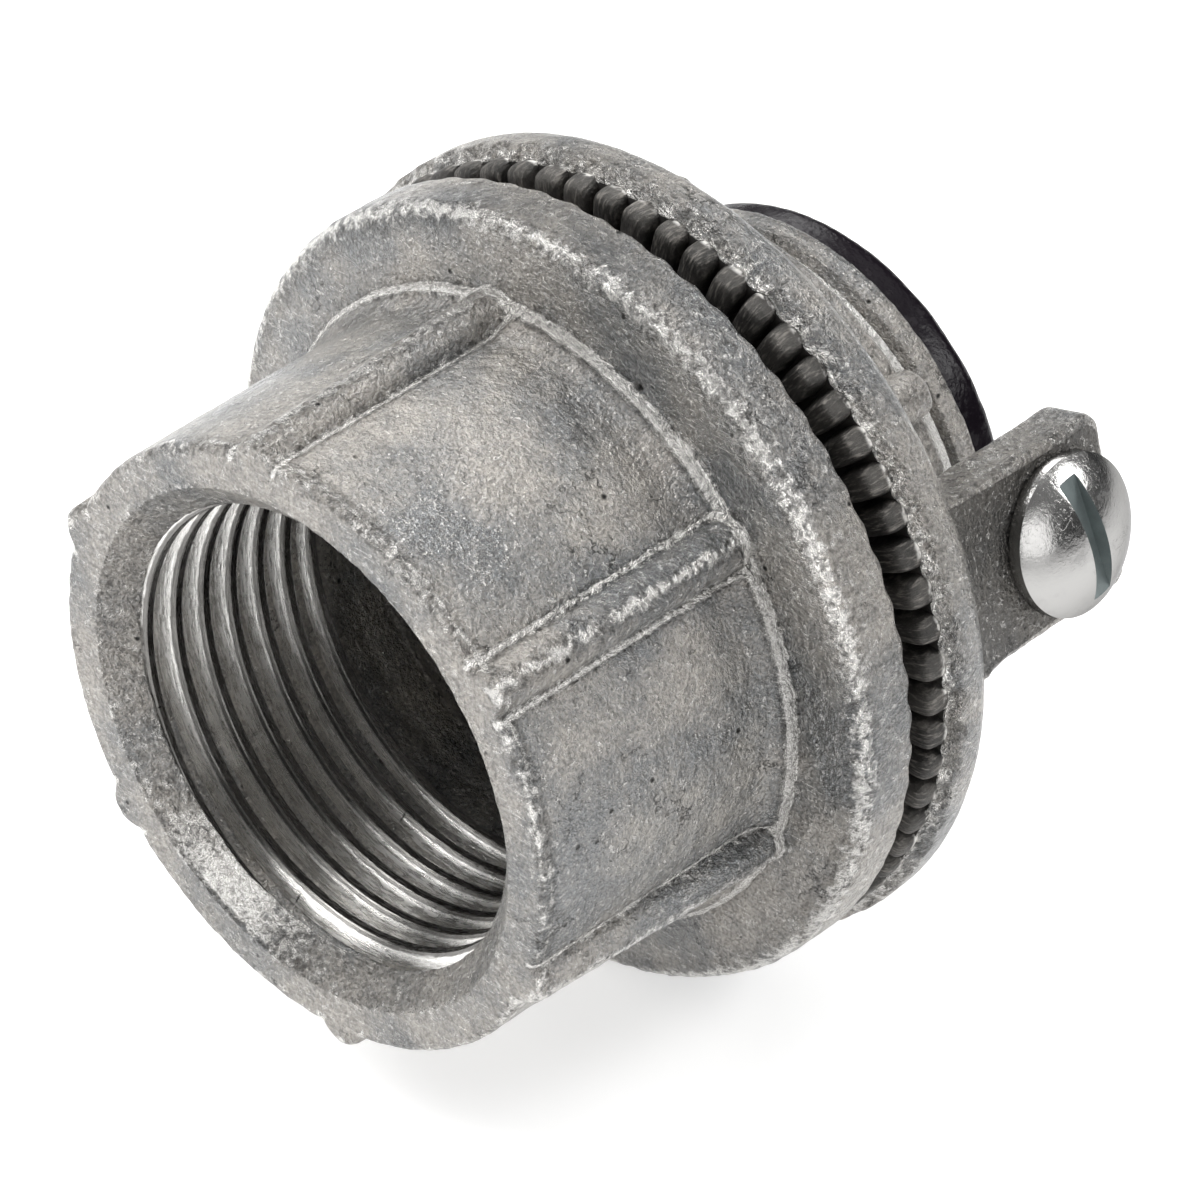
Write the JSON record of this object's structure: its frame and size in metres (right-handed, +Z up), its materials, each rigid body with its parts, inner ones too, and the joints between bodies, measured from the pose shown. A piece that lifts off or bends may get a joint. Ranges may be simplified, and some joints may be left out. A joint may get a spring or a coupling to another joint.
{
  "type": "grounding conduit hub",
  "caption": "Die-cast zinc conduit hub with ribbed threaded socket, sealing ring, insulated throat, toothed locking nut and a ground screw on the nut's tab.",
  "frame": {"origin": "on the hub axis, in the flange's rear face, which seats against the enclosure wall", "axes": "+Y along the hub axis from the conduit mouth to the inside of the enclosure, +Z up"},
  "size_m": [0.0433, 0.0368, 0.0422],
  "materials": {
    "cast_zinc": "satin",
    "nut_zinc": "satin",
    "seal_rubber": "matte",
    "black_plastic": "matte",
    "plated_steel": "polished"
  },
  "bodies": {
    "hub": {"hub_body": "cast_zinc", "sealing_ring": "seal_rubber", "insulating_throat": "black_plastic"},
    "nut": {"grounding_nut": "nut_zinc"},
    "screw": {"ground_screw": "plated_steel"}
  },
  "joints": [
    {"name": "nut_travel", "type": "slide", "parent": "hub", "child": "nut", "axis": [0, 1, 0], "range_m": [-0.001, 0.01089]},
    {"name": "screw_travel", "type": "slide", "parent": "nut", "child": "screw", "axis": [0.9598, 0, 0.2807], "range_m": [0, 0.00317]}
  ]
}
